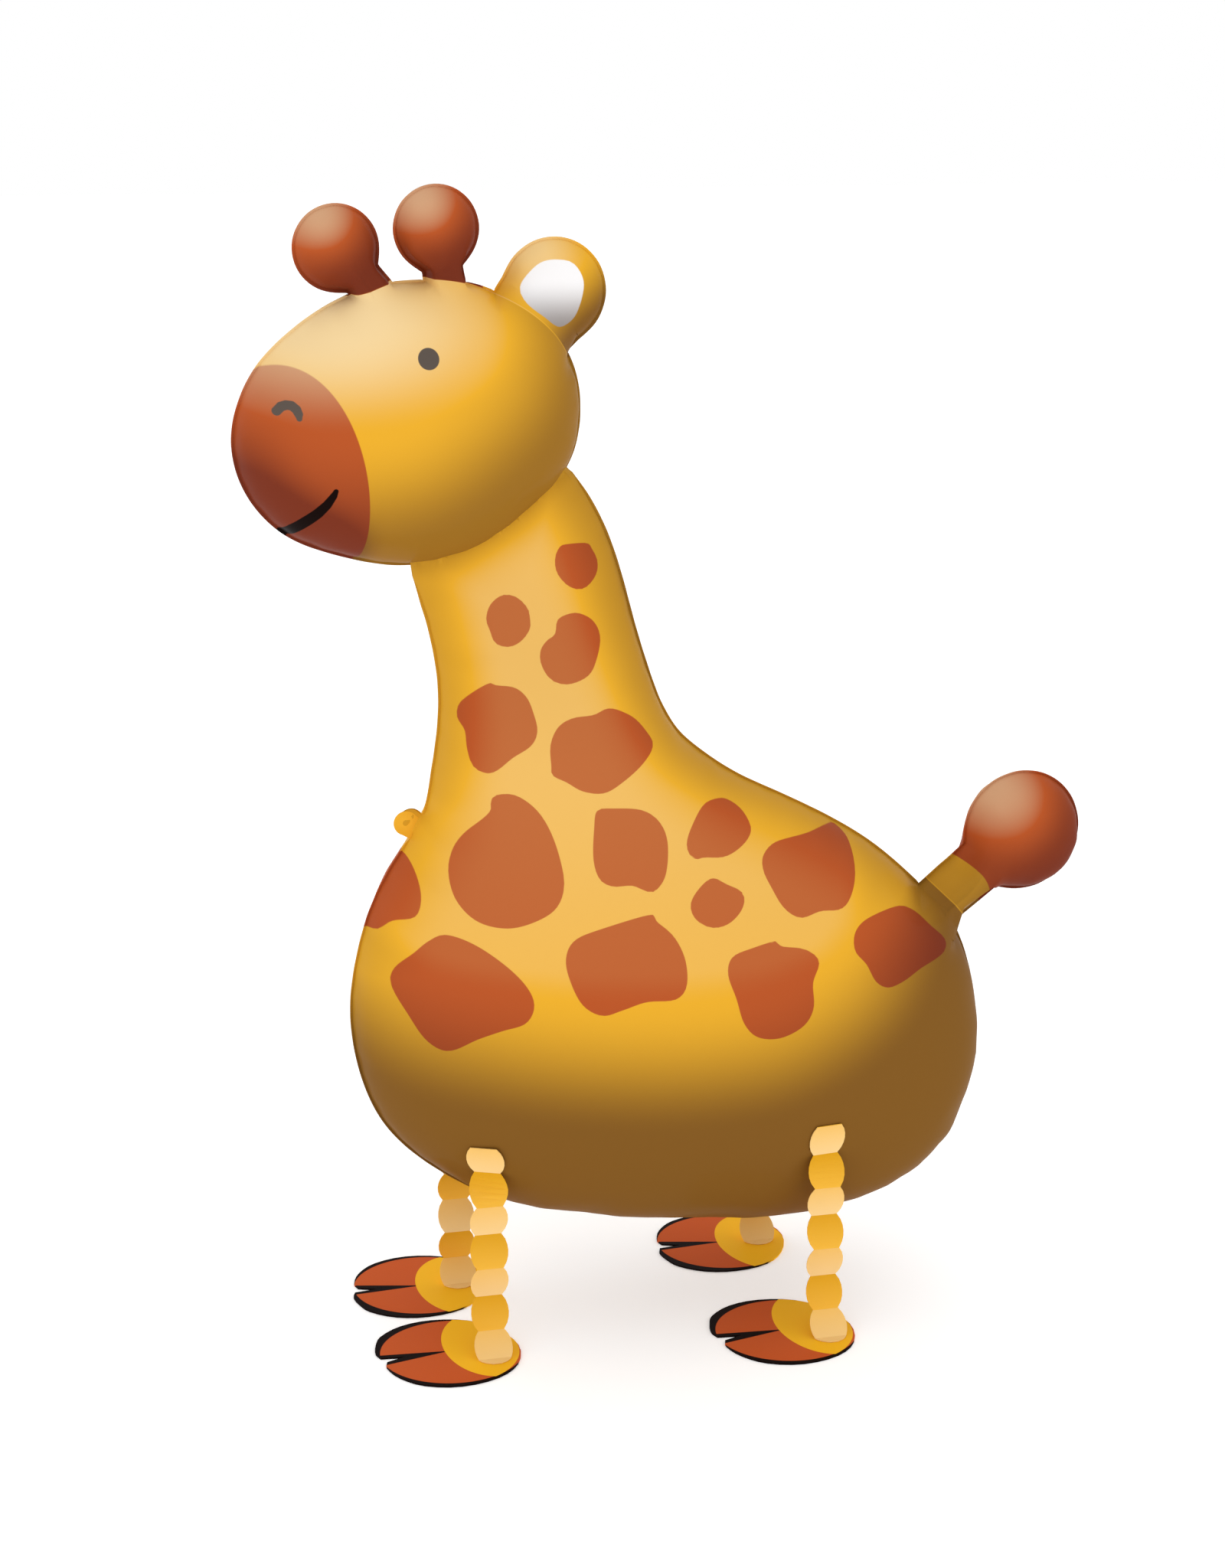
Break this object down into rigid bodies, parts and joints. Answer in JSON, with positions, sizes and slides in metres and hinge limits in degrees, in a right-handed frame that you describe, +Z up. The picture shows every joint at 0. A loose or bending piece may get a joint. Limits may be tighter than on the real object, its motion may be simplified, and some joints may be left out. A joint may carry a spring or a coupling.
{
  "type": "giraffe foil balloon",
  "caption": "Walking balloon in the form of a giraffe: inflated foil bags for the body and the head, on folded link-strip legs with flat card hooves.",
  "frame": {"origin": "on the ground, under the middle of the whole balloon's box", "axes": "+Z up, the giraffe faces -X, its left side toward -Y, the seam in the plane Y = 0"},
  "size_m": [0.5986, 0.2662, 0.791],
  "materials": {
    "body_foil": "satin printed metallised film, yellow with rust spots and a dark belly",
    "head_foil": "satin printed metallised film, yellow with a rust muzzle and horns",
    "leg_strip": "matt golden film strip, links light and dark in turn",
    "foot_card": "matt printed card, rust toes, yellow heel and a black outline"
  },
  "bodies": {
    "root": {"body": "body_foil", "head": "head_foil", "front_left_leg": "leg_strip", "front_right_leg": "leg_strip", "back_left_leg": "leg_strip", "back_right_leg": "leg_strip", "front_left_foot": "foot_card", "front_right_foot": "foot_card", "back_left_foot": "foot_card", "back_right_foot": "foot_card"}
  },
  "joints": []
}
